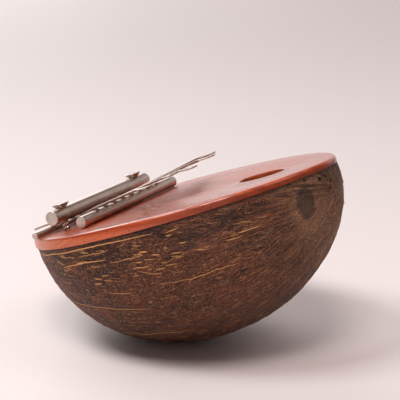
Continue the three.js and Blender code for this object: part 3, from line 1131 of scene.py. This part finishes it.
def recess_cutter(centre, turn):
    """A tapering cross for the driver recess, as (height, span, width of its arms) levels."""
    levels = [(0.4, 3.9, 1.15), (-0.45, 3.1, 0.9), (-1.5, 1.3, 0.6)]
    rings = []
    for height, span, width in levels:
        a, b = span / 2, width / 2
        ring = [(a, -b), (a, b), (b, b), (b, a), (-b, a), (-b, b), (-a, b), (-a, -b)]
        ring += [(-b, -b), (-b, -a), (b, -a), (b, -b)]
        rings.append([(x, y, height) for x, y in ring])
    points = np.array(rings).reshape(-1, 3)
    rotation = np.array(Matrix.Rotation(turn, 3, "Z"))
    return add_cutter(points @ rotation.T + centre, tube_faces(len(levels), len(ring)))


def make_screw(node, name, joint, material, turn):
    """A countersunk wood screw with a cut thread; turn is its recess's angle."""
    top = to_board(JOINTS[joint]["pos_m"])
    circle = unit_circle(SCREW_COLUMNS)
    round_share = np.arange(SCREW_COLUMNS) / SCREW_COLUMNS
    rows = []
    for radius, height, thread in screw_profile():
        phase = (round_share - height / SCREW_PITCH) % 1.0
        ridge = np.abs(2 * phase - 1) ** 2.4
        reach = radius + (SCREW_THREAD_RADIUS - SCREW_CORE_RADIUS) * ridge * thread
        rows.append(reach[:, None] * circle + (0.0, 0.0, height))
    faces = grid_faces(len(rows), SCREW_COLUMNS, wrap=True)
    screw = add_mesh(name, np.vstack(rows) + top, faces, material, None)
    tidy_mesh(screw, merge=1e-6)
    cut_with(screw, [recess_cutter(top, turn)])
    screw.data.set_sharp_from_angle(angle=math.radians(35))
    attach(screw, frame["nodes"][node]["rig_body"])
    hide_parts(node)


# ---- tongues


def tine_line(paddle, tip):
    """A strip's centre line as evenly spaced (x, z) points, softened at its bends."""
    (px, pz), (tx, tz) = paddle, tip
    stops = list(TAIL_LINE) + [(px, pz)]
    for share in (0.25, 0.5, 0.75, 1.0):
        sag = PADDLE_SAG * 4 * share * (1 - share)
        stops.append((px + (tx - px) * share, pz + (tz - pz) * share - sag))
    stops = np.array(stops)
    x = np.arange(stops[0, 0], stops[-1, 0], 0.4)
    x[-1] = stops[-1, 0]
    z = np.interp(x, stops[:, 0], stops[:, 1])
    kernel = np.hanning(7) / np.hanning(7).sum()
    padded = np.concatenate([2 * z[0] - z[3:0:-1], z, 2 * z[-1] - z[-2:-5:-1]])
    return x, np.convolve(padded, kernel, mode="valid")


def tine_section(count=16):
    """Rounded-rectangle outline, one unit wide and thick."""
    turn = np.linspace(0, 2 * math.pi, count, endpoint=False) + math.pi / count
    power = 2 / 5.0
    wide = np.sign(np.cos(turn)) * np.abs(np.cos(turn)) ** power
    high = np.sign(np.sin(turn)) * np.abs(np.sin(turn)) ** power
    return wide / 2, high / 2


def tine_sizes(index, x, start, end):
    """Width, thickness and share of hammered paddle along x; the paddle goes from start to end."""
    spread = smooth_step(start - 0.6, start - 0.6 + PADDLE_FLARE, x)
    beat = smooth_noise(np.column_stack([x * 0.9, np.full(len(x), index * 5.3), np.zeros(len(x))]), 31)
    width = TINE_WIDTH + (PADDLE_WIDTH - TINE_WIDTH + 0.16 * beat) * spread
    thickness = TINE_THICKNESS + (PADDLE_THICKNESS - TINE_THICKNESS) * spread
    into_corner = np.clip((x - (end - PADDLE_CORNER)) / PADDLE_CORNER, 0, 1)
    width = width * (0.3 + 0.7 * np.sqrt(1 - into_corner ** 2))
    thickness = thickness * (1 - 0.45 * into_corner ** 2)
    from_back = np.clip((x - x[0]) / 0.5, 0.0, 1.0)
    return width * (0.88 + 0.12 * np.sqrt(from_back)), thickness, spread


def make_tine(index, paddle, tip, material):
    """One strip, tail and tongue together; it bends between them, over the bridge."""
    y = JOINTS[f"tine_{index}_pluck"]["pos_m"][1] / MM
    x, z = tine_line(paddle, tip)
    end = tip[0]
    wide, high = tine_section()
    width, thickness, spread = tine_sizes(index, x, paddle[0], end)
    slope = np.gradient(z, x)
    length = np.hypot(1, slope)
    beaten = smooth_noise(np.column_stack([x / 1.3, np.full(len(x), index * 9.1), np.ones(len(x))]), 33)
    rows = []
    for k in range(len(x)):
        rise = thickness[k] * high + PADDLE_DENT * beaten[k] * spread[k]
        rise = rise + PADDLE_CUP * spread[k] * (2 * wide) ** 2
        row = [x[k] - rise * slope[k] / length[k], y + width[k] * wide, z[k] + rise / length[k]]
        rows.append(np.column_stack(row))
    faces = tube_faces(len(rows), len(wide))
    tine = add_mesh(f"tine_{index}", np.vstack(rows), faces, material, None)
    tidy_mesh(tine)
    tine.data.set_sharp_from_angle(angle=math.radians(50))
    bend_end = BRIDGE_X + 0.75 * (end - BRIDGE_X)
    height = float(np.interp(bend_end, x, z))
    begin, finish = to_row([(BRIDGE_X, y, BRIDGE_CONTACT_Z), (bend_end, y, height)])
    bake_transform(tine)
    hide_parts(f"tine_{index}_tail", f"tine_{index}_tongue")


# ---- the studio

FLOOR_REACH = 9.0  # metres


def make_floor():
    mesh = bpy.data.meshes.new("floor")
    r = FLOOR_REACH
    mesh.from_pydata([(-r, -r, 0), (r, -r, 0), (r, r, 0), (-r, r, 0)], [], [(0, 1, 2, 3)])
    mesh.materials.append(floor_material())
    floor = add_object("floor", mesh)


# softboxes aimed at the origin: azimuth and elevation in degrees, distance, side in metres, watts
SOFTBOXES = {
    "overhead_key": (318, 59, 1.3, 0.4, 7.4),
    "overhead_front": (14, 62, 1.3, 0.4, 6.2),
    "overhead_right": (96, 60, 1.3, 0.6, 1.8),
    "low_backdrop": (233, 18, 3.0, 2.4, 33.0),
    "high_backdrop": (236, 36, 2.2, 1.4, 9.5),
    "back_right": (194, 13, 3.0, 1.6, 4.6),
    "behind_right": (162, 22, 3.0, 1.8, 6.0),
    "front_room": (20, 20, 3.0, 2.6, 5.0),
}
NEUTRAL_TINT = (1.0, 1.0, 1.0)
WARM_TINT = (1.0, 0.88, 0.86)
WARM_LIGHTS = ("overhead_front", "overhead_right", "back_right", "behind_right", "front_room")
WORLD_TINT = (1.0, 0.76, 0.74, 1.0)
WORLD_STRENGTH = 0.14


def toward(azimuth, elevation):
    """Unit direction from the origin, by angles in radians; azimuth 0 is -y, a quarter turn +x."""
    level = math.cos(elevation)
    return Vector((math.sin(azimuth) * level, -math.cos(azimuth) * level, math.sin(elevation)))


def make_lights():
    world = bpy.data.worlds.new("studio")
    bpy.context.scene.world = world
    world.use_nodes = True
    sky = world.node_tree.nodes["Background"]
    sky.inputs["Color"].default_value = WORLD_TINT
    sky.inputs["Strength"].default_value = WORLD_STRENGTH
    for name, (azimuth, elevation, distance, side, power) in SOFTBOXES.items():
        light = bpy.data.lights.new(name, "AREA")
        light.shape = "RECTANGLE"
        light.size = light.size_y = side
        light.energy = power
        light.color = WARM_TINT if name in WARM_LIGHTS else NEUTRAL_TINT
        away = toward(math.radians(azimuth), math.radians(elevation))
        lamp = add_object(name, light)
        lamp.location = distance * away
        lamp.rotation_euler = away.to_track_quat("Z", "Y").to_euler()


CAMERA_AIM = (5.78, 2.7, -4.19)  # board frame, mm
CAMERA_AZIMUTH = math.radians(25.83)
CAMERA_ELEVATION = math.radians(14.17)
CAMERA_DISTANCE = 0.4725
CAMERA_LENS = 106.9


def make_camera():
    """The photograph's viewpoint: a long lens a little above the board, on its near side."""
    back = toward(CAMERA_AZIMUTH, CAMERA_ELEVATION)
    aim = Vector(to_row([CAMERA_AIM])[0])
    data = bpy.data.cameras.new("camera")
    data.sensor_width = 36.0
    data.lens = CAMERA_LENS
    data.clip_start = 0.01
    data.clip_end = 50.0
    camera = add_object("camera", data)
    camera.location = aim + CAMERA_DISTANCE * back
    camera.rotation_euler = back.to_track_quat("Z", "Y").to_euler()
    bpy.context.scene.camera = camera


# ---- everything in its place

make_camera()
make_floor()
make_lights()
bpy.context.scene.view_settings.view_transform = "Standard"

rod_steel = steel_material(
    "drawn_steel", (198, 184, 174), (150, 134, 122), (0.26, 0.38), (1400, 12, 1400)
)
screw_steel = steel_material(
    "plated_steel", (214, 204, 196), (160, 146, 134), (0.14, 0.3), (500, 500, 500)
)
tine_steel = steel_material(
    "hammered_steel", (186, 170, 158), (136, 118, 106), (0.2, 0.38), (40, 800, 800)
)

make_shell()
make_fibres()
make_board()
block = frame["nodes"]["backing_block"].data
block.materials.clear()
block.materials.append(block_material())

make_rod("rear_rod", "rear_rod_steel", rod_steel, 0.15)
make_rod("bridge_rod", "bridge_rod_steel", rod_steel, 0.3)
bar = make_rod("pressure_bar", "pressure_bar_steel", rod_steel, 0.35)
tops = [to_board(JOINTS[joint]["pos_m"]) for joint in ("near_screw_turn", "far_screw_turn")]
cut_with(bar, [screw_bore(top) for top in tops])
bar.data.set_sharp_from_angle(angle=math.radians(38))
make_screw("screw_near", "screw_near_steel", "near_screw_turn", screw_steel, math.radians(25))
make_screw("screw_far", "screw_far_steel", "far_screw_turn", screw_steel, math.radians(70))
for number, (paddle, tip) in enumerate(PADDLES, start=1):
    make_tine(number, paddle, tip, tine_steel)
